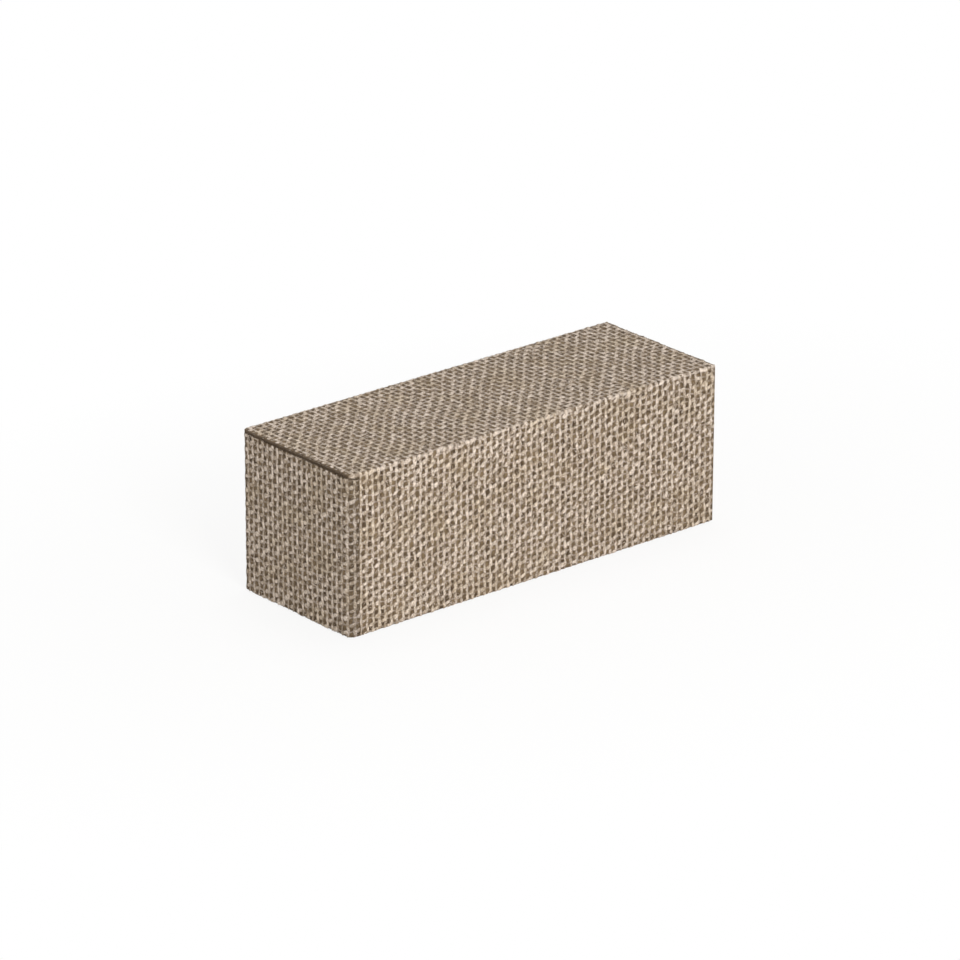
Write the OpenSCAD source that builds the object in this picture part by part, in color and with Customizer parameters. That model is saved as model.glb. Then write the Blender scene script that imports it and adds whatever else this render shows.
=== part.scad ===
// Small drawer gift box: a greyboard sleeve, and a drawer that slides out of its front end.
// Sleeve and drawer front are covered in jute-weave cloth paper, the tray in plain kraft paper.
// The front faces -Y, the box stands on z = 0, and the origin is under the middle of the box.

/* [Box] */
// Length from the edge of the top at the front to the back end
box_l = 163; // [110:1:260]
// Width across the two long sides
box_w = 56.5; // [44:0.5:110]
// Height from the table to the top
box_h = 58; // [40:0.5:110]

/* [Boards] */
// Thickness of the sleeve's greyboard
board_t = 1; // [0.8:0.1:2]
// Thickness of the tray's greyboard
tray_board_t = 1; // [0.6:0.1:2]
// Thickness of each of the two boards laminated into the drawer front
front_board_t = 1.8; // [1.5:0.1:3]
// Radius of the upright edges of the drawer front and of the top's front corners
corner_r = 2.4; // [1:0.1:3]
// Thickness left at the front edge of the top board
nose_t = 0.1; // [0.05:0.05:0.6]
// Length of the bevel under the front edge of the top board
bevel_l = 3; // [1:0.25:4]

/* [Coverings] */
// Thickness of the jute-weave cover
cover_t = 0.25; // [0.2:0.05:0.4]
// Thickness of the sheet under the box
base_t = 0.25; // [0.2:0.05:0.5]
// Thickness of the paper that lines the sleeve
lining_t = 0.2; // [0.15:0.05:0.35]
// Thickness of the paper that covers and lines the tray
paper_t = 0.2; // [0.15:0.05:0.35]
// Radius of the cover where it folds round a board's edge
fold_r = 0.4; // [0.2:0.05:0.6]
// Depth that the cover turns in at the sleeve's mouth
turn_in = 12; // [6:0.5:20]
// Width of the hems that the cover turns under the box and over its back
hem_w = 14; // [6:0.5:18]
// Margin between the edge of the back and the sheet pasted on it
sheet_margin = 1.5; // [1:0.25:4]
// Width of the hem that the cover turns behind the drawer front
front_hem = 8; // [4:0.5:14]
// Width of the hem that the kraft paper turns under the tray
tray_hem = 9; // [5:0.5:14]
// Depth that the kraft paper turns down inside the tray's rim
tray_turn = 12; // [6:0.5:20]

/* [Corner stays] */
// Thickness of the gummed tape in the inner corners
tape_t = 0.1; // [0.05:0.01:0.12]
// Width of each leg of the tape
tape_w = 8; // [4:0.5:12]

/* [Clearances] */
// Set-back of the drawer's face behind the edge of the top
front_setback = 0.2; // [0:0.1:1]
// Gap between the drawer front's back and the sleeve's mouth when shut
stop_gap = 0.2; // [0.1:0.05:0.6]
// Gap over the drawer front, under the top
lip_gap = 0.3; // [0.2:0.05:1]
// Gap between the drawer front and the table
table_gap = 0.4; // [0.3:0.1:1.5]
// Gap on each side of the tray
side_gap = 0.35; // [0.2:0.05:1]
// Gap under the tray
floor_gap = 0.1; // [0.05:0.05:0.4]
// Gap over the tray's rim
rim_gap = 0.6; // [0.3:0.1:2]
// Gap behind the tray when shut
end_gap = 0.8; // [0.4:0.1:3]

/* [Hidden] */
$fn = 64;
clear = 1;                                        // how far a cut runs past what it cuts
half_l = box_l / 2;
half_w = box_w / 2;

// Sleeve, from outside in
board_x = half_w - cover_t;                       // outer face of the side boards
bore_x = board_x - board_t;                       // inner face of the side boards
board_z0 = base_t + cover_t;                      // underside of the boards, on the hems
floor_z = board_z0 + board_t;                     // top of the bottom board
ceil_z = box_h - cover_t - board_t;               // underside of the top board
lip_z = ceil_z - cover_t;                         // underside of the covered top
nose_z = box_h - 2 * cover_t - nose_t;            // underside of the top's front edge
cover_y1 = half_l - cover_t;                      // back of the hems
board_y1 = cover_y1 - cover_t;                    // back of the boards
back_y0 = board_y1 - board_t;                     // inner face of the back board
skin_t = max(cover_t, lining_t);                  // thickest skin inside the bore
base_x = bore_x - cover_t;                        // half width of the sheet under the box
hem_x = half_w - hem_w;                           // inner edge of the hems

// Drawer front, from its face back
front_y0 = front_setback - half_l;
front_mid_y = front_y0 + cover_t + front_board_t;
front_back_y = front_mid_y + front_board_t;       // back of the inner board
front_y1 = front_back_y + cover_t;                // back of the turned hems
front_z0 = table_gap;
front_z1 = lip_z - lip_gap;                       // top of the front behind the bevel
front_face_z1 = nose_z - lip_gap;                 // where its sloping top would meet the edge of the box's top
front_hem_x = half_w - front_hem;
mouth_y = front_y1 + stop_gap;                    // front edge of the sleeve's sides and bottom
turn_y = mouth_y + turn_in;

// Tray, from outside in
tray_x = bore_x - skin_t - side_gap;
tray_y0 = front_y1;
tray_y1 = back_y0 - lining_t - end_gap;
tray_z0 = floor_z + skin_t + floor_gap;
tray_z1 = ceil_z - skin_t - rim_gap;
wall_x = tray_x - paper_t;
wall_y0 = tray_y0 + paper_t;
wall_y1 = tray_y1 - paper_t;
wall_z0 = tray_z0 + 2 * paper_t;
wall_z1 = tray_z1 - paper_t;
in_x = wall_x - tray_board_t;
in_y0 = wall_y0 + tray_board_t;
in_y1 = wall_y1 - tray_board_t;
tray_floor_z = wall_z0 + tray_board_t;
tray_turn_z = tray_z1 - tray_turn;

jute = "#b9a68f";
kraft = "#b08a5e";
greyboard = "#9a958c";
gummed_tape = "#c7a877";

// A block between three pairs of limits
module block(x, y, z) {
    translate([x[0], y[0], z[0]])
        cube([x[1] - x[0], y[1] - y[0], z[1] - z[0]]);
}

// A flat rectangle with round corners between two pairs of limits
module soft_rect(x, y, r) {
    translate([x[0] + r, y[0]])
        square([x[1] - x[0] - 2 * r, y[1] - y[0]]);
    translate([x[0], y[0] + r])
        square([x[1] - x[0], y[1] - y[0] - 2 * r]);
    for (cx = [x[0] + r, x[1] - r], cy = [y[0] + r, y[1] - r])
        translate([cx, cy])
            circle(r);
}

// Raises a plan drawn in X and Y
module upright(z) {
    translate([0, 0, z[0]])
        linear_extrude(z[1] - z[0])
            children();
}

// Draws a section of X and Z out along Y
module lengthways(y) {
    translate([0, y[1], 0])
        rotate([90, 0, 0])
            linear_extrude(y[1] - y[0])
                children();
}

// Draws a profile of Y and Z out along X
module crossways(x) {
    translate([x[0], 0, 0])
        rotate([90, 0, 90])
            linear_extrude(x[1] - x[0])
                children();
}

// The box's plan with its two round front corners, drawn in by a skin's thickness
module front_plan(inset, setback) {
    soft_rect([inset - half_w, half_w - inset], [inset + setback - half_l, box_l], corner_r - inset);
}

// Copies a piece to the left and the right
module both_sides() {
    children();
    mirror([1, 0, 0])
        children();
}

// An L of two legs in the corner of X and Y
module stay_section() {
    square([tape_w, tape_t]);
    square([tape_t, tape_w]);
}

// What the cover follows outside: sides and bottom start at the mouth, the top reaches the front
module sleeve_envelope() {
    intersection() {
        lengthways([-box_l, box_l])
            soft_rect([-half_w, half_w], [base_t, box_h], fold_r);
        upright([-clear, box_h + clear])
            front_plan(0, 0);
        crossways([-box_w, box_w])
            difference() {
                soft_rect([-half_l, cover_y1], [base_t, box_h], fold_r);
                polygon([
                    [-box_l, -clear], [mouth_y, -clear], [mouth_y, lip_z],
                    [bevel_l - half_l, lip_z], [-half_l, nose_z], [-box_l, nose_z]
                ]);
            }
    }
}

module top_board() {
    color(greyboard)
        difference() {
            intersection() {
                upright([ceil_z, box_h - cover_t])
                    front_plan(cover_t, 0);
                block([-box_w, box_w], [-box_l, board_y1], [0, box_h]);
            }
            crossways([-box_w, box_w])
                polygon([
                    [-box_l, 0], [bevel_l - half_l, 0], [bevel_l - half_l, ceil_z],
                    [-half_l, nose_z + cover_t], [-box_l, nose_z + cover_t]
                ]);
        }
}

module left_side_board() {
    color(greyboard)
        block([-board_x, -bore_x], [mouth_y + cover_t, board_y1], [board_z0, ceil_z]);
}

module right_side_board() {
    mirror([1, 0, 0])
        left_side_board();
}

module bottom_board() {
    color(greyboard)
        block([-bore_x, bore_x], [mouth_y + cover_t, board_y1], [board_z0, floor_z]);
}

module back_board() {
    color(greyboard)
        block([-bore_x, bore_x], [back_y0, board_y1], [floor_z, ceil_z]);
}

// One sheet over side, top and side: hems under the box and over its back, ends turned in at the mouth
module sleeve_cover() {
    color(jute)
        difference() {
            sleeve_envelope();
            top_board();
            left_side_board();
            right_side_board();
            bottom_board();
            // the mouth, between the turned-in ends
            block([-base_x, base_x], [-box_l, turn_y], [board_z0, lip_z]);
            // the bore behind them, and the back board
            block([-bore_x, bore_x], [turn_y, board_y1], [floor_z, ceil_z]);
            // between the hems under the box
            block([-hem_x, hem_x], [-box_l, box_l], [0, board_z0]);
            // where the sheet under the box turns up at the mouth
            block([-base_x, base_x], [-box_l, mouth_y + cover_t], [0, board_z0]);
            // between the hems on the back
            block([-hem_x, hem_x], [board_y1, box_l], [0, box_h - hem_w]);
        }
}

// Pasted over the hems on the back, and pressed down between them
module back_sheet() {
    color(jute) {
        block([sheet_margin - half_w, half_w - sheet_margin], [cover_y1, half_l],
              [base_t + sheet_margin, box_h - sheet_margin]);
        block([-hem_x, hem_x], [board_y1, cover_y1], [board_z0, box_h - hem_w]);
    }
}

// Pasted over the hems under the box, turned up at the mouth and in over the bottom board
module base_cover() {
    color(jute) {
        block([-base_x, base_x], [mouth_y, cover_y1], [0, base_t]);
        block([-hem_x, hem_x], [mouth_y, cover_y1], [base_t, board_z0]);
        block([-base_x, base_x], [mouth_y, mouth_y + cover_t], [base_t, floor_z]);
        block([-base_x, base_x], [mouth_y, turn_y], [floor_z, floor_z + cover_t]);
    }
}

module sleeve_stay_tapes() {
    color(gummed_tape)
        lengthways([turn_y, back_y0])
            both_sides() {
                translate([-bore_x, floor_z])
                    stay_section();
                translate([-bore_x, ceil_z])
                    mirror([0, 1])
                        stay_section();
            }
}

module sleeve_lining() {
    color(kraft)
        difference() {
            block([-bore_x, bore_x], [turn_y, back_y0], [floor_z, ceil_z]);
            block([lining_t - bore_x, bore_x - lining_t], [-box_l, box_l],
                  [floor_z + lining_t, ceil_z - lining_t]);
            sleeve_stay_tapes();
        }
}

module back_lining() {
    color(kraft)
        block([lining_t - bore_x, bore_x - lining_t], [back_y0 - lining_t, back_y0],
              [floor_z + lining_t, ceil_z - lining_t]);
}

// The drawer front's form, drawn in by a skin's thickness, between two planes across Y.
// Its top slopes back from the face, parallel to the bevel that it fits under
module front_form(inset, y) {
    intersection() {
        upright([front_z0 + inset, front_face_z1 - inset])
            front_plan(inset, front_setback);
        crossways([-box_w, box_w])
            difference() {
                soft_rect([front_y0 + inset, box_l], [front_z0 + inset, front_face_z1 - inset],
                          max(fold_r - inset, 0));
                polygon([
                    [-half_l, front_face_z1 - inset], [bevel_l - half_l, front_z1 - inset],
                    [box_l, front_z1 - inset], [box_l, box_h], [-half_l, box_h]
                ]);
            }
        block([-box_w, box_w], y, [0, box_h]);
    }
}

module front_outer_board() {
    color(greyboard)
        front_form(cover_t, [-box_l, front_mid_y]);
}

module front_inner_board() {
    color(greyboard)
        front_form(cover_t, [front_mid_y, front_back_y]);
}

// Over the face and all four edges, with its hems turned in behind
module front_cover() {
    color(jute)
        difference() {
            front_form(0, [-box_l, front_y1]);
            front_form(cover_t, [-box_l, front_back_y]);
            block([-front_hem_x, front_hem_x], [front_mid_y, box_l],
                  [front_z0 + front_hem, front_z1 - front_hem]);
        }
}

// Fills the back of the drawer front between the hems, where the tray is glued on
module front_backing_sheet() {
    color(kraft)
        block([-front_hem_x, front_hem_x], [front_back_y, front_y1],
              [front_z0 + front_hem, front_z1 - front_hem]);
}

module tray_bottom_board() {
    color(greyboard)
        block([-in_x, in_x], [in_y0, in_y1], [wall_z0, tray_floor_z]);
}

module tray_left_board() {
    color(greyboard)
        block([-wall_x, -in_x], [wall_y0, wall_y1], [wall_z0, wall_z1]);
}

module tray_right_board() {
    mirror([1, 0, 0])
        tray_left_board();
}

module tray_front_board() {
    color(greyboard)
        block([-in_x, in_x], [wall_y0, in_y0], [wall_z0, wall_z1]);
}

module tray_back_board() {
    color(greyboard)
        block([-in_x, in_x], [in_y1, wall_y1], [wall_z0, wall_z1]);
}

// Kraft paper round the tray's walls, hemmed under it and turned down inside its rim
module tray_cover() {
    color(kraft)
        difference() {
            upright([tray_z0 + paper_t, tray_z1])
                soft_rect([-tray_x, tray_x], [tray_y0, tray_y1], fold_r);
            tray_left_board();
            tray_right_board();
            tray_front_board();
            tray_back_board();
            block([-in_x, in_x], [in_y0, in_y1], [wall_z0, tray_turn_z]);
            block([paper_t - in_x, in_x - paper_t], [in_y0 + paper_t, in_y1 - paper_t],
                  [tray_floor_z, box_h]);
            block([tray_hem - tray_x, tray_x - tray_hem], [tray_y0 + tray_hem, tray_y1 - tray_hem],
                  [0, tray_floor_z]);
        }
}

// Pasted over the hems under the tray, and pressed down between them
module tray_base_sheet() {
    color(kraft) {
        block([sheet_margin - tray_x, tray_x - sheet_margin],
              [tray_y0 + sheet_margin, tray_y1 - sheet_margin], [tray_z0, tray_z0 + paper_t]);
        block([tray_hem - tray_x, tray_x - tray_hem], [tray_y0 + tray_hem, tray_y1 - tray_hem],
              [tray_z0 + paper_t, wall_z0]);
    }
}

module tray_stay_tapes() {
    color(gummed_tape)
        upright([tray_floor_z, tray_turn_z])
            both_sides() {
                translate([-in_x, in_y0])
                    stay_section();
                translate([-in_x, in_y1])
                    mirror([0, 1])
                        stay_section();
            }
}

module tray_lining() {
    color(kraft)
        difference() {
            block([-in_x, in_x], [in_y0, in_y1], [tray_floor_z, tray_turn_z]);
            block([paper_t - in_x, in_x - paper_t], [in_y0 + paper_t, in_y1 - paper_t], [0, box_h]);
            tray_stay_tapes();
        }
}

module tray_floor_sheet() {
    color(kraft)
        block([paper_t - in_x, in_x - paper_t], [in_y0 + paper_t, in_y1 - paper_t],
              [tray_floor_z, tray_floor_z + paper_t]);
}

top_board();
left_side_board();
right_side_board();
bottom_board();
back_board();
sleeve_cover();
back_sheet();
base_cover();
sleeve_lining();
back_lining();
sleeve_stay_tapes();
front_outer_board();
front_inner_board();
front_cover();
front_backing_sheet();
tray_bottom_board();
tray_left_board();
tray_right_board();
tray_front_board();
tray_back_board();
tray_cover();
tray_base_sheet();
tray_lining();
tray_floor_sheet();
tray_stay_tapes();
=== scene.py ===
"""Looks of a small drawer gift box covered in loose jute weave, built as a Blender add-on.

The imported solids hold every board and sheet. This script weaves the yarns of the jute cover on to them,
gives each paper and board its finish, and sets the box on a pale floor in soft light.
"""

import math
from functools import partial

import bmesh
import bpy
from bpy.props import FloatProperty, FloatVectorProperty, IntProperty, PointerProperty
from mathutils import Matrix, Vector


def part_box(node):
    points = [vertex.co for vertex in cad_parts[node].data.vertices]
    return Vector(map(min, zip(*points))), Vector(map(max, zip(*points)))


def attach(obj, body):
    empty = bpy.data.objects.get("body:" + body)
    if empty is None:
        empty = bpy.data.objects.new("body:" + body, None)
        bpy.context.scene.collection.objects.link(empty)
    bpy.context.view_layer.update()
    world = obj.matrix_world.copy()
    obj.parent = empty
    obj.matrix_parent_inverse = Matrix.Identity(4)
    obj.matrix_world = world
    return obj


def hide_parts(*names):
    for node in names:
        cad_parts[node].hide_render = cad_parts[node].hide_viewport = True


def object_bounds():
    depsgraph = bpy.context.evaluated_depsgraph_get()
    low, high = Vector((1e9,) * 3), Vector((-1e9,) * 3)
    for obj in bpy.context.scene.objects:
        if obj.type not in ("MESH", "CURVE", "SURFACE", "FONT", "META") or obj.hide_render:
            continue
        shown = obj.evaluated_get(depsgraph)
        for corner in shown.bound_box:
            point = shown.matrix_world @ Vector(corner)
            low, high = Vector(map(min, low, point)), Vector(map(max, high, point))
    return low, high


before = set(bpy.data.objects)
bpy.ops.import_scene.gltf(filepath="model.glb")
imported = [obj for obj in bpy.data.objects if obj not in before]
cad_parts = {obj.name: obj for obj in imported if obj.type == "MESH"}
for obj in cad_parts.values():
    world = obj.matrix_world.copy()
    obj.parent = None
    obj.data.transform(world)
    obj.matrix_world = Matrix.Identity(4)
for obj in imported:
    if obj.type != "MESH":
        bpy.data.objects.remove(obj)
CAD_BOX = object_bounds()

bl_info = {
    "name": "Jute Drawer Box",
    "version": (1, 0, 0),
    "blender": (4, 5, 0),
    "location": "3D View > Sidebar > Drawer Box",
    "description": "Weaves, papers and stages a small drawer gift box",
    "category": "Object",
}

MM = 0.001
SQUARE_CM = 10000  # in a square metre
CLOSE = 1e-6  # points nearer to each other than this are one
PREFIXES = ("ShaderNode", "GeometryNode", "FunctionNode", "")  # of the node types' names
KINDS = {bool: "Bool", int: "Int", float: "Float", tuple: "Vector", type(None): "Material"}  # of inputs
YARN = "yarn"  # attribute of the woven pieces: place along the yarn, angle round it, number of the yarn
STRIP = "strip"  # attribute while they are made: share of the length, angle round it, number
LEVEL = "level"  # attribute: height over the sheet, in metres
BAKE_MAP = "OFBake"  # their UV map: one strip for each yarn
JUTE, KRAFT, BOARD, TAPE = "jute_weave_cover", "kraft_paper", "greyboard", "gummed_tape"
FOLD = 0.4 * MM  # radius of the cover round a board's edge
CORNER = 2.4 * MM  # radius of the drawer front's upright edges
SKIN = 0.25 * MM  # thickness of the cover
NOSE = 0.35 * MM  # from the top board's upper face to the underside of its covered front edge
BEVEL = 3 * MM  # length of the bevel behind that edge
LIP_GAP = 0.3 * MM  # between the bevel and the drawer front under it
STRIP_FILL = 0.94  # share of its strip of the map that a yarn fills
RINGS_A_PITCH, YARN_SIDES = 6, 5  # rings of a yarn from one crossing to the next, and sides of a ring
FIBRE_RINGS, FIBRE_SIDES = 4, 3
LANE = 7.31  # from one yarn's row of noise to the next one's
STRAY, SLUBS, BUMPS = 5 * MM, 1.6 * MM, 2.6 * MM  # lengths over which a yarn strays, swells and rises
ASKEW = 28 * MM  # size of the stretches of cloth that lie askew
TAPER = 0.3 * MM  # length over which the end of a yarn closes
TOP_LOW, TOP_HIGH = 0.09 * MM, 0.28 * MM  # least and greatest height of a yarn's upper side over the sheet
# Scales of the finishes' noise, in cells a metre. The fibres of yarn and paper, 0.02 mm wide, are too fine to
# show and are drawn as the bundles and clumps that they form.
MATTED = 900.0  # clumps of paper fibres, 1.1 mm
FOLD_SPOTS = 500.0  # spots that break up the painted highlight and rubbing on a fold, 2 mm
MOTTLE = 420.0  # blotches on the yarn, 2.4 mm
SPECKS = 260.0  # darker spots of the backing paper, 4 mm
STAIN = 90.0  # patches in which the bleach took less, 11 mm
CLOUD = 60.0  # clouds in paper and board, 17 mm
PAPERS = {
    JUTE: ("sleeve_cover", "back_sheet", "base_cover", "front_cover"),
    KRAFT: (
        "sleeve_lining", "back_lining", "front_backing_sheet", "tray_cover", "tray_base_sheet",
        "tray_lining", "tray_floor_sheet",
    ),
    BOARD: (
        "top_board", "left_side_board", "right_side_board", "bottom_board", "back_board", "front_outer_board",
        "front_inner_board", "tray_bottom_board", "tray_left_board", "tray_right_board", "tray_front_board",
        "tray_back_board",
    ),
    TAPE: ("sleeve_stay_tapes", "tray_stay_tapes"),
}


def linear(code):
    """An sRGB hex colour as the linear RGB that Blender's sockets hold."""
    parts = [int(code[i : i + 2], 16) / 255 for i in (1, 3, 5)]
    return tuple(p / 12.92 if p <= 0.04045 else ((p + 0.055) / 1.055) ** 2.4 for p in parts)


def length(name, about, default):
    """A size in millimetres, shown in the scene's own units."""
    return FloatProperty(name=name, description=about, default=default * MM, unit="LENGTH", precision=5)


def colour(name, about, code):
    """A colour given as sRGB hex."""
    shown = {"subtype": "COLOR", "min": 0, "max": 1}
    return FloatVectorProperty(name=name, description=about, default=linear(code), **shown)


class WeaveSettings(bpy.types.PropertyGroup):
    """Sizes and colours of the loose jute cloth on the cover."""

    warp_pitch: length("Warp Pitch", "Spacing of the yarns that run up the sides and over the top", 2.56)
    weft_pitch: length("Weft Pitch", "Spacing of the yarns that cross them", 2.46)
    warp_width: length("Warp Width", "Width of a warp yarn, pressed flat", 1.28)
    weft_width: length("Weft Width", "Width of a weft yarn, pressed flat", 1.2)
    yarn_height: length("Yarn Height", "Thickness of a yarn, pressed flat", 0.3)
    skew: FloatProperty(name="Skew", description="Rise of the weft along its length", default=0.084)
    wander: length("Wander", "How far a yarn strays to either side", 0.35)
    drift: length("Drift", "How far whole stretches of cloth lie askew, along the weft's rows", 6.0)
    slub: FloatProperty(name="Slub", description="How much the width varies", default=1.5, subtype="FACTOR")
    uneven: length("Uneven", "How much a yarn's height varies", 0.3)
    fibre_length: length("Fibre Length", "Length of the loose fibres", 3.0)
    fibre_width: length("Fibre Width", "Width of the loose fibres, coarse enough to show", 0.13)
    fibres: FloatProperty(name="Fibres", description="Loose fibres on a square centimetre", default=24.0)
    seed: IntProperty(name="Seed", description="Changes the yarns' irregularities", default=7)
    yarn: colour("Yarn", "Bleached jute of the yarns", "#ebdccf")
    yarn_shade: colour("Yarn Shade", "The darker fibres among them", "#94816a")
    yarn_tint: colour("Yarn Tint", "The yellower stretches of yarn", "#dccab0")
    ground: colour("Ground", "Brown paper that shows between the yarns", "#7e6a50")
    # Its colour is also painted as shade where the yarns dip and on the paper's fold over the lip
    ground_shade: colour("Ground Shade", "The paper's darker fibres", "#453524")


class PaperSettings(bpy.types.PropertyGroup):
    """Colours of the papers and boards under and inside the cover."""

    kraft: colour("Kraft", "Unbleached kraft paper", "#b0906a")
    kraft_fibre: colour("Kraft Fibre", "Its darker fibres", "#8c6f4b")
    greyboard: colour("Greyboard", "Recycled greyboard", "#9a958c")
    greyboard_fleck: colour("Greyboard Fleck", "Its dark flecks", "#6f6a62")
    tape: colour("Tape", "Gummed paper tape", "#c7a877")
    tape_fibre: colour("Tape Fibre", "Its darker fibres", "#a2834f")


class StageSettings(bpy.types.PropertyGroup):
    """The floor, the lights and the place of the camera."""

    azimuth: FloatProperty(name="Azimuth", description="Camera's angle round the box", default=49.57)
    elevation: FloatProperty(name="Elevation", description="Camera's angle above the floor", default=21.663)
    roll: FloatProperty(name="Roll", description="Camera's tilt to its left", default=0.156)
    distance: length("Distance", "From the camera to the middle of the box", 1946.7)
    aside: length("Aside", "How far the view is moved to the left of the middle", 0.67)
    above: length("Above", "How far the view is moved below the middle", 1.38)
    lens: FloatProperty(name="Lens", description="Focal length on a 36 mm sensor, in mm", default=214.1)
    floor: colour("Floor", "Pale paper under the box", "#f4f3f1")
    key: FloatProperty(name="Key", description="Strength of the lamp on the long side", default=1.0)


class BoxSettings(bpy.types.PropertyGroup):
    """All that a user would change."""

    weave: PointerProperty(type=WeaveSettings)
    paper: PointerProperty(type=PaperSettings)
    stage: PointerProperty(type=StageSettings)


def fill(node, *values, **named):
    """Links or fills a node's inputs in order or by name, where an underscore stands for a space."""
    sockets = [s for s in node.inputs if s.enabled]
    pairs = list(zip(sockets, values))
    for name, value in named.items():
        pairs.append((next(s for s in sockets if s.name == name.replace("_", " ")), value))
    for socket, value in pairs:
        if isinstance(value, bpy.types.Node):
            value = next(s for s in value.outputs if s.enabled)
        if isinstance(value, bpy.types.NodeSocket):
            node.id_data.links.new(value, socket)
        elif value is not None:
            socket.default_value = value


def add(tree, kind, *values, **named):
    """Adds a node, sets it up by the names in small letters, and fills its inputs with the rest.

    The kind is the node's type without its prefix, and "Math:ADD" gives its operation too.
    """
    kind, _, operation = kind.partition(":")
    node = tree.nodes.new(next(p + kind for p in PREFIXES if hasattr(bpy.types, p + kind)))
    if operation:
        node.operation = operation
    for name in [n for n in named if n.islower()]:
        setattr(node, name, named.pop(name))
    fill(node, *values, **named)
    return node


def new_tree(name, inputs):
    """A geometry tree with a geometry in and out and these inputs: (tree, add for it, its inputs)."""
    tree = bpy.data.node_groups.new(name, "GeometryNodeTree")
    tree.interface.new_socket("Geometry", in_out="INPUT", socket_type="NodeSocketGeometry")
    tree.interface.new_socket("Geometry", in_out="OUTPUT", socket_type="NodeSocketGeometry")
    for label, default in inputs.items():
        kind = "NodeSocket" + KINDS[type(default)]
        socket = tree.interface.new_socket(label, in_out="INPUT", socket_type=kind)
        if default is not None:
            socket.default_value = default
    return tree, partial(add, tree), tree.nodes.new("NodeGroupInput").outputs


SHEET = {
    "Axis": (0, 1, 0),
    "Start": 0.0,
    "End": 0.1,
    "Low Start": 0.0,
    "Low Below": -1.0,
    "Fall": 0.0,
    "Fall From": 0.0,
    "Half Span": 1.0,
    "Corner Radius": 0.0,
    "Overhang": 0.35 * MM,
    "Relief": 1.0,
    "Turn": 0.0,
    "Seed": 0.0,
    "Material": None,
}
YARNS = {
    "Along Section": True,
    "Count": 10,
    "First": 0.0,
    "Pitch": 2.5 * MM,
    "Skew": 0.0,
    "Crossing First": 0.0,
    "Crossing Pitch": 2.5 * MM,
    "Crossing Skew": 0.0,
    "Half Width": 0.5 * MM,
    "Half Height": 0.15 * MM,
    "Lift": 0.0,
    "Rise": 0.1 * MM,
    "Rise Shift": 0.0,
    "Swell": 0.0,
    "Sway": 0.0,
    "Sway Shift": 0.0,
    "Wander": 0.2 * MM,
    "Drift": (0, 0, 0),
    "Slub": 0.3,
    "Uneven": 0.0,
}
FIBRES = {"Count": 100, "Length": 3 * MM, "Width": 0.1 * MM}


def strips(put, count, rings, sides):
    """A flat strip for each yarn or fibre: (mesh, share of its length, angle round it, its number)."""
    strip = put("MeshGrid", 1.0, 1.0, rings, sides + 1)
    numbers = put("MeshLine", count, None, None, (0, 0, 1))
    mesh = put("InstanceOnPoints", Points=numbers, Instance=strip)
    mesh = put("RealizeInstances", mesh)
    flat = put("SeparateXYZ", put("InputPosition"))
    share = put("Math:ADD", flat.outputs["X"], 0.5)
    number = put("Math:ROUND", flat.outputs["Z"])
    angle = put("Math:MULTIPLY", flat.outputs["Y"], 2 * math.pi)
    middle = put("Math:ADD", number, 0.5)
    strip_share = put("Math:MULTIPLY_ADD", flat.outputs["Y"], STRIP_FILL, middle)
    strip_place = put("Math:DIVIDE", strip_share, count)
    spot = put("CombineXYZ", share, strip_place)
    mesh = put("StoreNamedAttribute", mesh, None, BAKE_MAP, spot, data_type="FLOAT2", domain="CORNER")
    where = put("CombineXYZ", share, angle, number)
    mesh = put("StoreNamedAttribute", mesh, None, STRIP, where, data_type="FLOAT_VECTOR")
    stored = put("SeparateXYZ", put("InputNamedAttribute", STRIP, data_type="FLOAT_VECTOR"))
    return mesh, *stored.outputs


def uneven(put, along, across, period, gain):
    """Smooth noise about 0 along a yarn, -0.5 to 0.5 at gain 1, different for each yarn."""
    place = put("CombineXYZ", put("Math:DIVIDE", along, period), across)
    noise = put("TexNoise", Vector=place, Scale=1.0, Detail=1.0, noise_dimensions="2D")
    return put("Math:MULTIPLY", put("Math:SUBTRACT", noise.outputs[0], 0.5), gain)


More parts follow.
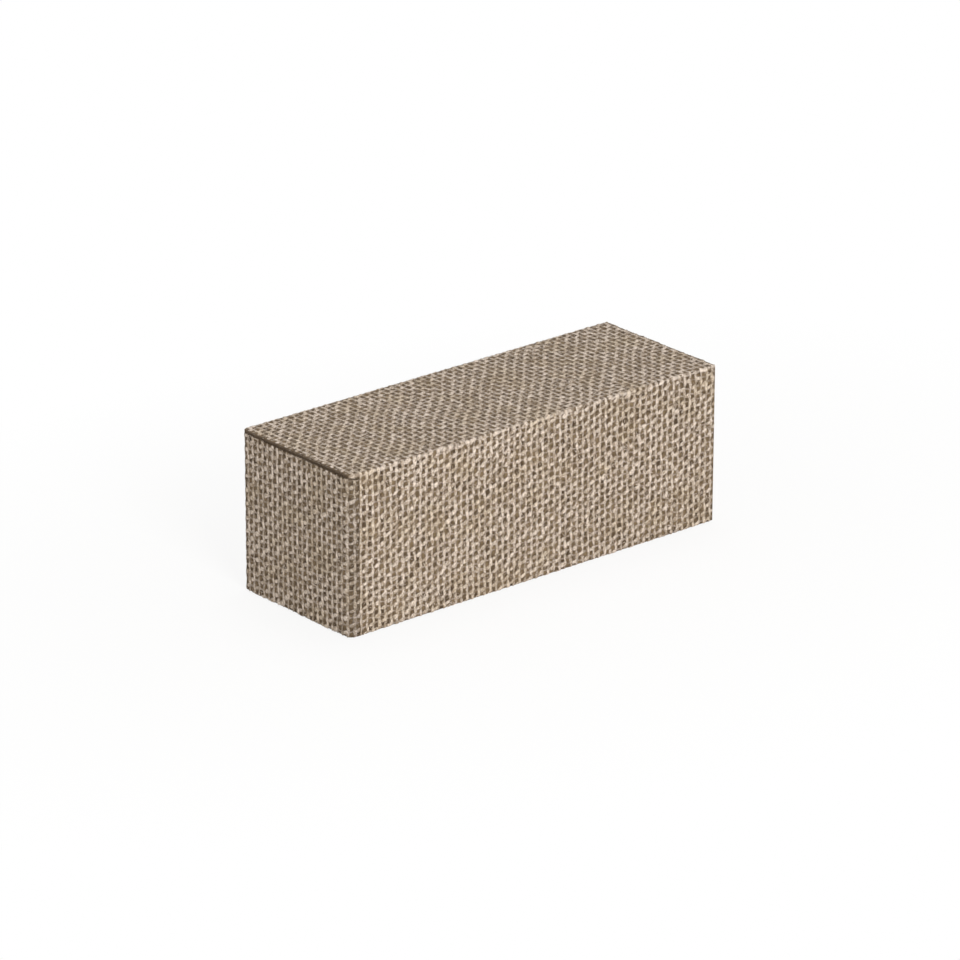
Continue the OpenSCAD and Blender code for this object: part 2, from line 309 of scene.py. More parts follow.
def lay(put, x, mesh, middle, spot, height):
    """Lays a pattern on the sheet and ends the tree. A place is one on the section and one on the axis."""
    mesh = put("StoreNamedAttribute", mesh, None, LEVEL, height, data_type="FLOAT")
    height = put("Math:MULTIPLY", height, x["Relief"])
    section = put("CurveLength", x["Geometry"])
    # Past an end of the axis or the section a yarn keeps this much of its height, and so turns round the edge
    kept = put("Math:MULTIPLY", put("Math:MAXIMUM", height, 0.0), x["Turn"])
    over, held, sample = None, None, None
    for on_section, on_axis in (middle, spot):
        ring_over = over
        sample = put("SampleCurve", Curves=x["Geometry"], Length=on_section, mode="LENGTH")
        sampled = put("SeparateXYZ", sample.outputs["Position"])
        low = put("Math:LESS_THAN", sampled.outputs["Z"], x["Low Below"])
        low_start = put("Switch", low, x["Start"], x["Low Start"], input_type="FLOAT")
        behind = put("Math:SUBTRACT", sampled.outputs["Y"], x["Fall From"])
        behind = put("Math:MINIMUM", put("Math:MAXIMUM", behind, 0.0), BEVEL)
        end = put("Math:SUBTRACT", x["End"], put("Math:MULTIPLY", behind, x["Fall"]))
        before = put("Math:SUBTRACT", low_start, on_axis)
        after = put("Math:SUBTRACT", on_axis, end)
        past = put("Math:SUBTRACT", on_section, section)
        short = put("Math:MULTIPLY", on_section, -1.0)
        over = put("Math:MAXIMUM", before, after)
        over = put("Math:MAXIMUM", over, put("Math:MAXIMUM", past, short))
        over = put("Math:MAXIMUM", over, 0.0)
        held = put("Math:MAXIMUM", on_axis, low_start)
        held = put("Math:MINIMUM", held, put("Math:ADD", end, kept))
    # Rings whose middle lies past the sheet's edge go, and the rest bends down over it
    cut = put("Compare", ring_over, x["Overhang"], data_type="FLOAT", operation="GREATER_THAN")
    mesh = put("DeleteGeometry", Geometry=mesh, Selection=cut, domain="POINT")
    height = put("Math:SUBTRACT", height, over)
    outward = put("VectorMath:CROSS_PRODUCT", sample.outputs["Tangent"], x["Axis"])
    outward = put("VectorMath:NORMALIZE", outward)
    raised = put("VectorMath:SCALE", outward, Scale=height)
    drawn = put("VectorMath:SCALE", x["Axis"], Scale=held)
    beyond = put("Math:MINIMUM", put("Math:MAXIMUM", past, 0.0), kept)
    ahead = put("Math:MINIMUM", put("Math:MAXIMUM", short, 0.0), kept)
    onward = put("Math:SUBTRACT", beyond, ahead)
    onward = put("VectorMath:SCALE", sample.outputs["Tangent"], Scale=onward)
    spot = put("VectorMath:ADD", sample.outputs["Position"], onward)
    spot = put("VectorMath:ADD", spot, drawn)
    spot = put("VectorMath:ADD", spot, raised)
    # The plan's round corners at the start of the axis draw the ends of the yarns in
    corner = put("Math:ADD", x["Start"], x["Corner Radius"])
    corner = put("Math:MAXIMUM", put("Math:SUBTRACT", corner, held), 0.0)
    square = put("Math:POWER", x["Corner Radius"], 2.0)
    rest = put("Math:SUBTRACT", square, put("Math:POWER", corner, 2.0))
    chord = put("Math:SQRT", put("Math:MAXIMUM", rest, 0.0))
    inset = put("Math:SUBTRACT", x["Corner Radius"], chord)
    limit = put("Math:SUBTRACT", x["Half Span"], inset)
    parts = put("SeparateXYZ", spot)
    side = put("Math:MINIMUM", parts.outputs["X"], limit)
    side = put("Math:MAXIMUM", side, put("Math:MULTIPLY", limit, -1.0))
    spot = put("CombineXYZ", side, parts.outputs["Y"], parts.outputs["Z"])
    mesh = put("SetPosition", Geometry=mesh, Position=spot)
    mesh = put("RemoveAttribute", mesh, STRIP)
    mesh = put("MergeByDistance", Geometry=mesh, Distance=CLOSE)
    mesh = put("SetShadeSmooth", Geometry=mesh)
    mesh = put("RealizeInstances", mesh)
    mesh = put("SetMaterial", Geometry=mesh, Material=x["Material"])
    put("NodeGroupOutput", mesh)


def yarn_tree():
    """One family of parallel yarns on a sheet that is drawn from a section along an axis."""
    tree, put, x = new_tree("Woven Yarns", SHEET | YARNS)
    span = put("Math:SUBTRACT", x["End"], x["Start"])
    section = put("CurveLength", x["Geometry"])
    run = put("Switch", x["Along Section"], span, section, input_type="FLOAT")
    pitches = put("Math:DIVIDE", run, x["Crossing Pitch"])
    rings = put("Math:CEIL", put("Math:MULTIPLY", pitches, RINGS_A_PITCH))
    mesh, share, round_it, which = strips(put, x["Count"], rings, YARN_SIDES)
    along = put("Math:MULTIPLY", share, run)
    # The yarn in the cloth: where it strays, swells, and goes over or under what it crosses
    lane = put("Math:MULTIPLY_ADD", which, LANE, x["Seed"])
    stray = put("Math:MULTIPLY", uneven(put, along, lane, STRAY, 2.0), x["Wander"])
    thick = uneven(put, along, put("Math:ADD", lane, 500.0), SLUBS, 1.0)
    thick = put("Math:MULTIPLY_ADD", thick, x["Slub"], 1.0)
    own = put("Math:MULTIPLY_ADD", which, x["Pitch"], x["First"])
    # Both families lie askew together: the drift holds a shift along the section and one along the axis
    started = put("Math:ADD", x["Start"], along)
    pairs = ((own, along), (started, own))
    here = [put("Switch", x["Along Section"], *pair, input_type="FLOAT") for pair in pairs]
    here = put("VectorMath:SCALE", put("CombineXYZ", *here), Scale=1 / ASKEW)
    askew = put("TexNoise", Vector=here, Scale=1.0, Detail=1.0).outputs["Color"]
    askew = put("VectorMath:SUBTRACT", askew, (0.5, 0.5, 0.5))
    askew = put("SeparateXYZ", put("VectorMath:MULTIPLY", askew, x["Drift"]))
    shifts = (askew.outputs["X"], askew.outputs["Y"])
    own_shift = put("Switch", x["Along Section"], *shifts, input_type="FLOAT")
    crossing_shift = put("Switch", x["Along Section"], *shifts[::-1], input_type="FLOAT")
    crossing = put("Math:SUBTRACT", along, crossing_shift)
    crossing = put("Math:SUBTRACT", crossing, x["Crossing First"])
    crossing = put("Math:SUBTRACT", crossing, put("Math:MULTIPLY", own, x["Crossing Skew"]))
    crossing = put("Math:DIVIDE", crossing, x["Crossing Pitch"])
    turn = put("Math:ADD", crossing, which)
    rise_turn = put("Math:MULTIPLY", put("Math:ADD", turn, x["Rise Shift"]), math.pi)
    sway_turn = put("Math:MULTIPLY", put("Math:ADD", turn, x["Sway Shift"]), math.pi)
    wave = put("Math:COSINE", rise_turn)
    pushed = put("Math:MULTIPLY", put("Math:COSINE", sway_turn), x["Sway"])
    thick = put("Math:MULTIPLY", thick, put("Math:MULTIPLY_ADD", wave, x["Swell"], 1.0))
    # Both ends close to a point
    left = put("Math:SUBTRACT", run, along)
    near_end = put("Math:MINIMUM", along, left)
    taper = put("Math:DIVIDE", near_end, TAPER, use_clamp=True)
    girth = put("Math:MULTIPLY", thick, taper)
    half_width = put("Math:MULTIPLY", girth, x["Half Width"])
    half_height = put("Math:MULTIPLY", taper, x["Half Height"])
    middle = put("Math:MULTIPLY_ADD", along, x["Skew"], put("Math:ADD", own, own_shift))
    middle = put("Math:ADD", put("Math:ADD", middle, stray), pushed)
    across = put("Math:MULTIPLY_ADD", put("Math:SINE", round_it), half_width, middle)
    centre = put("Math:MULTIPLY_ADD", wave, x["Rise"], x["Lift"])
    bumpy = uneven(put, along, put("Math:ADD", lane, 900.0), BUMPS, 1.0)
    centre = put("Math:MULTIPLY_ADD", bumpy, x["Uneven"], centre)
    highest = put("Math:MULTIPLY_ADD", x["Half Height"], -1.0, TOP_HIGH)
    lowest = put("Math:MULTIPLY_ADD", x["Half Height"], -1.0, TOP_LOW)
    centre = put("Math:MINIMUM", put("Math:MAXIMUM", centre, lowest), highest)
    height = put("Math:MULTIPLY_ADD", put("Math:COSINE", round_it), half_height, centre)
    where = put("CombineXYZ", along, round_it, which)
    mesh = put("StoreNamedAttribute", mesh, None, YARN, where, data_type="FLOAT_VECTOR")
    places = []
    for own_place in (middle, across):
        on_section = put("Switch", x["Along Section"], own_place, along, input_type="FLOAT")
        on_axis = put("Switch", x["Along Section"], started, own_place, input_type="FLOAT")
        places.append((on_section, on_axis))
    lay(put, x, mesh, *places, height)
    return tree


def fibre_tree():
    """Loose fibres that lie on the cloth in all directions, bent, some of them matted to short clumps."""
    tree, put, x = new_tree("Loose Fibres", SHEET | FIBRES)
    mesh, share, round_it, which = strips(put, x["Count"], FIBRE_RINGS, FIBRE_SIDES)
    # Six chances from 0 to 1 for each fibre
    chance = []
    for shift in (0.0, 0.37):
        lot = put("Math:ADD", put("Math:ADD", which, x["Seed"]), shift)
        lots = put("TexWhiteNoise", W=lot, noise_dimensions="1D")
        chance += list(put("SeparateXYZ", lots.outputs["Color"]).outputs)
    section = put("CurveLength", x["Geometry"])
    span = put("Math:SUBTRACT", x["End"], x["Start"])
    # A few fibres are clumps, up to 5 times as wide and half as long
    clump = put("Math:POWER", chance[3], 9.0)
    size = put("Math:MULTIPLY", x["Length"], put("Math:MULTIPLY_ADD", clump, -0.5, 1.0))
    size = put("Math:MULTIPLY", size, put("Math:MULTIPLY_ADD", chance[4], 0.8, 0.4))
    width = put("Math:MULTIPLY", x["Width"], put("Math:MULTIPLY_ADD", clump, 4.0, 1.0))
    along = put("Math:MULTIPLY", share, size)
    centred = put("Math:SUBTRACT", share, 0.5)
    # 1 at the fibre's middle and 0 at both its ends, which are thin and lie low
    bow = put("Math:MULTIPLY_ADD", put("Math:POWER", centred, 2.0), -4.0, 1.0)
    bend = put("Math:MULTIPLY", put("Math:SUBTRACT", chance[5], 0.5), 0.6)
    bend = put("Math:MULTIPLY", put("Math:MULTIPLY", bend, bow), size)
    half = put("Math:MULTIPLY", put("Math:MULTIPLY_ADD", bow, 0.4, 0.1), width)
    aside = put("Math:MULTIPLY_ADD", put("Math:SINE", round_it), half, bend)
    onward = put("Math:MULTIPLY", centred, size)
    angle = put("Math:MULTIPLY", chance[2], math.pi)
    cosine, sine = put("Math:COSINE", angle), put("Math:SINE", angle)
    places = []
    for off in (bend, aside):
        across = put("Math:MULTIPLY", onward, cosine)
        across = put("Math:MULTIPLY_ADD", chance[0], section, across)
        across = put("Math:SUBTRACT", across, put("Math:MULTIPLY", off, sine))
        up = put("Math:MULTIPLY_ADD", chance[1], span, put("Math:MULTIPLY", onward, sine))
        up = put("Math:MULTIPLY_ADD", off, cosine, up)
        places.append((across, put("Math:ADD", up, x["Start"])))
    top = put("Math:MULTIPLY_ADD", bow, 0.2 * MM, 0.02 * MM)
    half_height = put("Math:MULTIPLY", half, 0.4)
    height = put("Math:MULTIPLY_ADD", put("Math:COSINE", round_it), half_height, top)
    where = put("CombineXYZ", along, round_it, which)
    mesh = put("StoreNamedAttribute", mesh, None, YARN, where, data_type="FLOAT_VECTOR")
    lay(put, x, mesh, *places, height)
    return tree


def close_ends(mesh):
    """Caps the yarns where an edge of the sheet cuts them, and turns the mesh outward if it faces inward."""
    work = bmesh.new()
    work.from_mesh(mesh)
    open_edges = [e for e in work.edges if e.is_boundary]
    bmesh.ops.holes_fill(work, edges=open_edges, sides=0)
    if work.calc_volume(signed=True) < 0:
        bmesh.ops.reverse_faces(work, faces=work.faces)
    work.to_mesh(mesh)
    work.free()


def woven(name, body, points, tree, values):
    """A plain mesh of yarns on the sheet that this section draws, riding on a body."""
    curve = bpy.data.curves.new(name, "CURVE")
    curve.dimensions = "3D"
    line = curve.splines.new("POLY")
    line.points.add(len(points) - 1)
    for point, place in zip(line.points, points):
        point.co = (*place, 1)
    holder = bpy.data.objects.new(name + "_section", curve)
    bpy.context.scene.collection.objects.link(holder)
    modifier = holder.modifiers.new("Yarns", "NODES")
    modifier.node_group = tree
    sockets = {s.name: s.identifier for s in tree.interface.items_tree if s.in_out == "INPUT"}
    for label, value in values.items():
        modifier[sockets[label]] = value
    made = holder.evaluated_get(bpy.context.evaluated_depsgraph_get())
    mesh = bpy.data.meshes.new_from_object(made)
    if not mesh.polygons:
        raise RuntimeError(f"no yarns were made for {name}")
    bpy.data.objects.remove(holder)
    bpy.data.curves.remove(curve)
    close_ends(mesh)
    piece = bpy.data.objects.new(name, mesh)
    bpy.context.scene.collection.objects.link(piece)
    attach(piece, body)


def turned(centre, radius, start, quarter, steps=4):
    """Points of a quarter circle, from an angle in degrees, anticlockwise for quarter 1, clockwise for -1."""
    angles = [math.radians(start + quarter * 90 * i / steps) for i in range(steps + 1)]
    return [(centre[0] + radius * math.cos(a), centre[1] + radius * math.sin(a)) for a in angles]


def new_material(name):
    """A node material with a Principled shader: (material, add for its tree, shader)."""
    material = bpy.data.materials.new(name)
    material.use_nodes = True
    material.node_tree.nodes.clear()
    put = partial(add, material.node_tree)
    shader = put("BsdfPrincipled")
    put("OutputMaterial", shader)
    return material, put, shader


def located(put):
    """Where a point is on the box: (place, its parts, distance inward from the nearer long side)."""
    place = put("TexCoord").outputs["Object"]
    parts = put("SeparateXYZ", place).outputs
    beside = put("Math:SUBTRACT", CAD_BOX[1].x, put("Math:ABSOLUTE", parts["X"]))
    return place, parts, beside


def fold_highlight_and_rubbing(put):
    """How far the cloth is painted paler along the two long top folds, 0 to 1: a painted highlight where the
    folds catch the light, partly also rubbed pale, broken up into spots.
    """
    place, parts, beside = located(put)
    # The painted highlight and the rubbing spread from a line 0.5 mm under the top
    below = put("Math:SUBTRACT", CAD_BOX[1].z - 0.5 * MM, parts["Z"])
    offset = put("CombineXYZ", beside, below)
    away = put("VectorMath:LENGTH", offset)
    near = put("MapRange", away.outputs["Value"], 0.35 * MM, 0.9 * MM, 1.0, 0.0)
    broken = put("TexNoise", Vector=place, Scale=FOLD_SPOTS, Detail=2.0)
    broken = put("MapRange", broken.outputs[0], 0.42, 0.62, 0.0, 0.8)
    return put("Math:MULTIPLY", near, broken)


def shaded_front_edges(put, colour_socket):
    """Painted shade: the cloth a little darker on the round side edges of the drawer front."""
    _, parts, beside = located(put)
    side = put("MapRange", beside, CORNER, 0.1 * CORNER, 0.0, 0.32)
    front = put("Math:LESS_THAN", parts["Y"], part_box("front_cover")[1].y)
    under = put("Math:LESS_THAN", parts["Z"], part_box("front_cover")[1].z + 0.1 * MM)
    edge_shade = put("Math:MULTIPLY", side, put("Math:MULTIPLY", front, under))
    kept = put("Math:SUBTRACT", 1.0, edge_shade)
    return put("VectorMath:SCALE", colour_socket, Scale=kept)


def yarn_material(weave):
    """Bleached jute, spun loosely, woven and pressed.

    To the eye it is dry and matt, with no gloss: pale cream with brown fibres that wind round each yarn, and
    blotchy.
    Painted into its colour are shade where a yarn dips under another and on the drawer front's round side
    edges, and a highlight, partly rubbed pale, along the top folds.
    """
    material, put, shader = new_material("bleached_jute_yarn")
    yarn = put("SeparateXYZ", put("Attribute", attribute_name=YARN).outputs["Vector"])
    along, round_it, which = yarn.outputs
    tone = put("TexWhiteNoise", W=which, noise_dimensions="1D")
    # Bundles of fibres 0.25 mm wide, one turn in 4 mm of yarn
    wound = put("Math:MULTIPLY_ADD", along, 2 * math.pi / (4 * MM), round_it)
    fibre_at = put("CombineXYZ", put("Math:MULTIPLY", along, 1000.0), wound, which)
    fibre = put("TexNoise", Vector=fibre_at, Scale=1.6, Detail=3.0, Roughness=0.8)
    place = put("TexCoord").outputs["Object"]
    mottle = put("TexNoise", Vector=place, Scale=MOTTLE, Detail=3.0, Roughness=0.85)
    stain = put("TexNoise", Vector=place, Scale=STAIN, Detail=1.0)
    shade = put("MapRange", fibre.outputs[0], 0.42, 0.58, 0.9, 0.0)
    shade = put("Math:MULTIPLY_ADD", tone.outputs["Value"], 0.2, shade)
    patch = put("MapRange", mottle.outputs[0], 0.42, 0.6, -0.28, 0.38)
    shade = put("Math:ADD", shade, patch, use_clamp=True)
    # Painted highlight, partly rubbed pale, along the long top folds: the darker fibres fade there
    fold_pale = fold_highlight_and_rubbing(put)
    shade = put("Math:MULTIPLY", shade, put("Math:MULTIPLY_ADD", fold_pale, -0.8, 1.0))
    tinted = put("MapRange", stain.outputs[0], 0.5, 0.62, 0.0, 0.55)
    pale = put("Mix", tinted, (*weave.yarn, 1), (*weave.yarn_tint, 1), data_type="RGBA")
    base = put("Mix", shade, pale, (*weave.yarn_shade, 1), data_type="RGBA")
    # Painted shade: a yarn is darkened towards the paper's dark colour where it dips between its neighbours
    level = put("Attribute", attribute_name=LEVEL).outputs["Fac"]
    dip_shade = put("MapRange", level, -0.02 * MM, 0.2 * MM, 0.75, 0.0)
    dip_shade = put("Math:MULTIPLY", dip_shade, put("Math:MULTIPLY_ADD", fold_pale, -1.0, 1.0))
    base = put("Mix", dip_shade, base, (*weave.ground_shade, 1), data_type="RGBA")
    bump = put("Bump", Strength=0.7, Distance=0.06 * MM, Height=fibre.outputs[0])
    finish = {"Roughness": 0.85, "Sheen_Weight": 0.05, "Sheen_Roughness": 0.5}
    # Painted shade on the drawer front's round side edges
    fill(shader, Base_Color=shaded_front_edges(put, base), Normal=bump, **finish)
    return material


def ground_material(weave):
    """Unbleached brown paper, uncoated, pasted behind the open weave.

    To the eye it is the dull, dark brown, speckled ground in the weave's holes, with no gloss. Painted into
    it are a highlight along the top folds and shade over the lip and on the drawer front's round side edges.
    """
    material, put, shader = new_material("brown_backing_paper")
    place = put("TexCoord").outputs["Object"]
    matted = put("TexNoise", Vector=place, Scale=MATTED, Detail=4.0, Roughness=0.7)
    specks = put("TexNoise", Vector=place, Scale=SPECKS, Detail=2.0)
    both = put("Math:MULTIPLY", specks.outputs[0], 0.4)
    both = put("Math:MULTIPLY_ADD", matted.outputs[0], 0.6, both)
    shade = put("MapRange", both, 0.4, 0.6, 0.0, 1.0)
    base = put("Mix", shade, (*weave.ground, 1), (*weave.ground_shade, 1), data_type="RGBA")
    # Painted highlight, partly rubbed pale, along the long top folds: the paper is mixed towards the yarn's
    # pale colour
    fold_paleness = put("Math:MULTIPLY", fold_highlight_and_rubbing(put), 0.8)
    base = put("Mix", fold_paleness, base, (*weave.yarn, 1), data_type="RGBA")
    # Painted shade: the paper's fold over the lip is darkened, standing in for the shadow of the seam under
    # the bevel
    parts = put("SeparateXYZ", place)
    front = CAD_BOX[0].y
    fold = put("MapRange", parts.outputs["Y"], front + 0.5 * MM, front + 0.9 * MM, 0.8, 0.0)
    lip = put("Math:GREATER_THAN", parts.outputs["Z"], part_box("top_board")[1].z - NOSE - 0.1 * MM)
    lip_shade = put("Math:MULTIPLY", fold, lip)
    base = put("Mix", lip_shade, base, (*weave.ground_shade, 1), data_type="RGBA")
    bump = put("Bump", Strength=0.5, Distance=0.06 * MM, Height=matted.outputs[0])
    # Painted shade on the drawer front's round side edges
    fill(shader, Base_Color=shaded_front_edges(put, base), Roughness=0.9, Normal=bump)
    return material


def paper_material(name, base, fibre, roughness):
    """Uncoated paper or board, as it leaves the machine.

    To the eye it is an even, matt sheet with darker fibres in it and a slight cloudiness.
    """
    material, put, shader = new_material(name)
    place = put("TexCoord").outputs["Object"]
    strands = put("TexNoise", Vector=place, Scale=MATTED, Detail=4.0, Roughness=0.7)
    cloud = put("TexNoise", Vector=place, Scale=CLOUD, Detail=2.0)
    both = put("Math:MULTIPLY", cloud.outputs[0], 0.3)
    both = put("Math:MULTIPLY_ADD", strands.outputs[0], 0.7, both)
    shade = put("MapRange", both, 0.42, 0.68, 0.0, 0.8)
    flecked = put("Mix", shade, (*base, 1), (*fibre, 1), data_type="RGBA")
    bump = put("Bump", Strength=0.35, Distance=0.03 * MM, Height=strands.outputs[0])
    fill(shader, Base_Color=flecked, Roughness=roughness, Normal=bump)
    return material


def dress(nodes, material):
    """Gives CAD nodes a material in place of their own."""
    for name in nodes:
        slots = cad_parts[name].material_slots
        if not slots:
            raise RuntimeError(f"{name} has no material slot")
        for slot in slots:
            slot.link = "OBJECT"
            slot.material = material


class DRAWERBOX_OT_papers(bpy.types.Operator):
    """Gives every board, paper and tape its finish"""

    bl_idname = "drawerbox.papers"
    bl_label = "Papers and Boards"

    def execute(self, context):
        s = context.scene.drawer_box
        p = s.paper
        dress(PAPERS[JUTE], ground_material(s.weave))
        # Machine-finished: warm brown and dull, a little smoother than board
        dress(PAPERS[KRAFT], paper_material("unbleached_kraft_paper", p.kraft, p.kraft_fibre, 0.8))
        # Pressed from waste paper: grey with dark flecks, and the dullest of the three
        dress(PAPERS[BOARD], paper_material("recycled_greyboard", p.greyboard, p.greyboard_fleck, 0.9))
        # Its dried gum leaves a faint shine on yellower paper
        dress(PAPERS[TAPE], paper_material("gummed_paper_tape", p.tape, p.tape_fibre, 0.6))
        return {"FINISHED"}


def weave_values(weave, warp, along_section, start, end, run, facing, anchor, stretch, askew, share):
    """The inputs of one family of yarns, warp or weft.

    facing is -1 on sheets with an upright axis, where it mirrors the weft's slant and the yarns' waves.
    """
    pitches = (weave.warp_pitch * stretch, weave.weft_pitch)
    pitch, crossing = pitches if warp else pitches[::-1]
    width = end - start if along_section else run
    other = run if along_section else end - start
    slope = -facing * weave.skew
    reach = 0 if warp else slope * other
    origin = start if along_section else 0.0
    crossing_origin = 0.0 if along_section else start
    weft_origin = slope * start if warp and along_section else 0.0
    lowest = math.floor((origin + min(0, -reach) - anchor[not warp]) / pitch)
    highest = math.ceil((origin + width + max(0, -reach) - anchor[not warp]) / pitch)
    # A large family is made in shares, so that no piece is too heavy
    part, parts = share
    count = highest - lowest + 1
    before = count * part // parts
    count = count * (part + 1) // parts - before
    lowest += before
    first = anchor[not warp] + lowest * pitch
    # The warp keeps its line better than the weft
    steady = askew * 0.18
    drift = (askew, steady) if warp == along_section else (steady, askew)
    # The warp's number 0 and the weft's number 0 are counted from the anchors
    parity = lowest % 2
    # The weft lies lower than the warp and rises further over it, and is widest where it does
    return {
        "Along Section": along_section,
        "Count": count,
        "First": first,
        "Pitch": pitch,
        "Skew": 0.0 if warp else slope,
        "Crossing First": anchor[warp] - crossing_origin - weft_origin + parity * crossing,
        "Crossing Pitch": crossing,
        "Crossing Skew": slope if warp else 0.0,
        "Half Width": (weave.warp_width if warp else weave.weft_width) / 2,
        "Half Height": weave.yarn_height / 2,
        "Lift": (0.03 if warp else -0.09) * MM,
        "Rise": (-0.08 if warp else 0.22) * MM,
        "Rise Shift": -0.25 * facing if warp else 0.3,
        "Swell": -0.1 if warp else 0.45,
        "Sway": 0.13 * MM if warp else -0.17 * facing * MM,
        "Sway Shift": 0.25 * facing if warp else -0.2,
        "Wander": weave.wander * (0.6 if warp else 1.0),
        "Drift": (*drift, 0.0),
        "Slub": weave.slub,
        "Uneven": weave.uneven,
        "Seed": weave.seed + (0 if warp else 250) + LANE * before,
    }


def cloth(
    context, name, body, points, warp_on_section, axis, start, end,
    facing=1, anchor=(0.0, 0.0), stretch=1.0, askew=1.0, shares=1, loose=True, **more,
):
    """The warp, the weft and the loose fibres of one cover.

    anchor is the place of one warp yarn and of one weft yarn. stretch scales the warp's pitch, and askew the
    drift. shares is the number of pieces that each family is made in.
    """
    weave = context.scene.drawer_box.weave
    yarns = bpy.data.node_groups.get("Woven Yarns") or yarn_tree()
    material = bpy.data.materials.get("bleached_jute_yarn") or yarn_material(weave)
    run = sum((Vector(b) - Vector(a)).length for a, b in zip(points, points[1:]))
    sheet = {"Axis": axis, "Start": start, "End": end, "Low Start": start, **more, "Material": material}
    for warp in (True, False):
        for part in range(shares):
            ranges = (warp == warp_on_section, start, end, run, facing, anchor, stretch)
            values = weave_values(weave, warp, *ranges, weave.drift * askew, (part, shares))
            piece = name + ("_warp" if warp else "_weft") + (f"_{part + 1}" if shares > 1 else "")
            woven(piece, body, points, yarns, {**values, **sheet})
    if loose:
        fibres = bpy.data.node_groups.get("Loose Fibres") or fibre_tree()
        values = {
            "Count": round(weave.fibres * run * (end - start) * SQUARE_CM),
            "Length": weave.fibre_length,
            "Width": weave.fibre_width,
            "Seed": float(weave.seed),
        }
        woven(name + "_fibres", body, points, fibres, {**values, **sheet})


class DRAWERBOX_OT_sleeve_weave(bpy.types.Operator):
    """Weaves the yarns over the sleeve's sides and top"""

    bl_idname = "drawerbox.sleeve_weave"
    bl_label = "Sleeve Weave"

    def execute(self, context):
        low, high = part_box("sleeve_cover")
        lip_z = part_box("sleeve_lining")[1].z - SKIN
        mouth_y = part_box("base_cover")[0].y
        hem_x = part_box("base_cover")[1].x
        section = [(-hem_x, low.z)]
        section += turned((low.x + FOLD, low.z + FOLD), FOLD, 270, -1)
        section += turned((low.x + FOLD, high.z - FOLD), FOLD, 180, -1)
        section += turned((high.x - FOLD, high.z - FOLD), FOLD, 90, -1)
        section += turned((high.x - FOLD, low.z + FOLD), FOLD, 0, -1)
        section += [(hem_x, low.z)]
        bare_lip = 0.45 * MM  # paper over the lip without yarns
        first_warp = mouth_y + 0.58 * MM
        path = [(x, 0, z) for x, z in section]
        along = ((0, 1, 0), low.y + bare_lip, high.y)
        edges = {
            "Low Start": mouth_y,
            "Low Below": lip_z,
            "Half Span": high.x + 0.4 * MM,  # with room for the yarns' height
            "Corner Radius": CORNER,
            "Overhang": 0.05 * MM,
            "Turn": 1.0,
        }
        anchor = (first_warp, 0.0)
        cloth(context, "sleeve_cover", "sleeve", path, True, *along, anchor=anchor, shares=2, **edges)
        return {"FINISHED"}


class DRAWERBOX_OT_mouth_weave(bpy.types.Operator):
    """Weaves the yarns that turn in at the sleeve's mouth"""

    bl_idname = "drawerbox.mouth_weave"
    bl_label = "Mouth Weave"

    def execute(self, context):
        low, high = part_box("sleeve_cover")
        turn_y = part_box("sleeve_lining")[0].y
        mouth_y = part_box("base_cover")[0].y
        inner_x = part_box("base_cover")[1].x
        lip_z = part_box("sleeve_lining")[1].z - SKIN
        floor_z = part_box("base_cover")[1].z
        wall = [(inner_x, turn_y), (inner_x, mouth_y), (high.x - SKIN, mouth_y)]
        # What turns in is pressed flat, because the drawer slides past it
        pressed = {"loose": False, "Relief": 0.3}
        for side in (1, -1):
            path = [(side * x, y, 0) for x, y in wall][::side]
            edge = "right_mouth_edge" if side > 0 else "left_mouth_edge"
            cloth(context, edge, "sleeve", path, False, (0, 0, 1), floor_z, lip_z, facing=-1, **pressed)
        nose_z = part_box("top_board")[1].z - NOSE
        lip = [(low.y, nose_z), (low.y + BEVEL, lip_z), (turn_y, lip_z)]
        path = [(0, y, z) for y, z in lip]
        span = high.x - CORNER
        first = (0.0, 0.3 * MM)
        cloth(context, "lip_edge", "sleeve", path, False, (1, 0, 0), -span, span, anchor=first, **pressed)
        sill = [(turn_y, floor_z), (mouth_y, floor_z), (mouth_y, 0.0)]
        path = [(0, y, z) for y, z in sill]
        pressed["Relief"] = 0.25
        cloth(context, "sill_edge", "sleeve", path, False, (1, 0, 0), -inner_x, inner_x, **pressed)
        return {"FINISHED"}


class DRAWERBOX_OT_base_weave(bpy.types.Operator):
    """Weaves the yarns of the sheet under the box, which press into it where it stands"""

    bl_idname = "drawerbox.base_weave"
    bl_label = "Base Weave"

    def execute(self, context):
        weave = context.scene.drawer_box.weave
        low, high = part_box("base_cover")
        # The paper lies this far over the floor, which leaves room for its pressed yarns
        inset = 0.13 * MM
        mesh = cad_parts["base_cover"].data.copy()
        work = bmesh.new()
        work.from_mesh(mesh)
        bmesh.ops.remove_doubles(work, verts=work.verts, dist=CLOSE)
        for vert in work.verts:
            vert.co.z = max(vert.co.z, inset)
        work.to_mesh(mesh)
        work.free()
        mesh.materials.clear()
        mesh.materials.append(bpy.data.materials["brown_backing_paper"])
        paper = bpy.data.objects.new("base_cover_paper", mesh)
        context.scene.collection.objects.link(paper)
        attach(paper, "sleeve")
        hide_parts("base_cover")
        path = [(high.x, 0, inset), (low.x, 0, inset)]
        cloth(context, "base_cover", "sleeve", path, True, (0, 1, 0), low.y, high.y, loose=False, Relief=0.35)
        return {"FINISHED"}


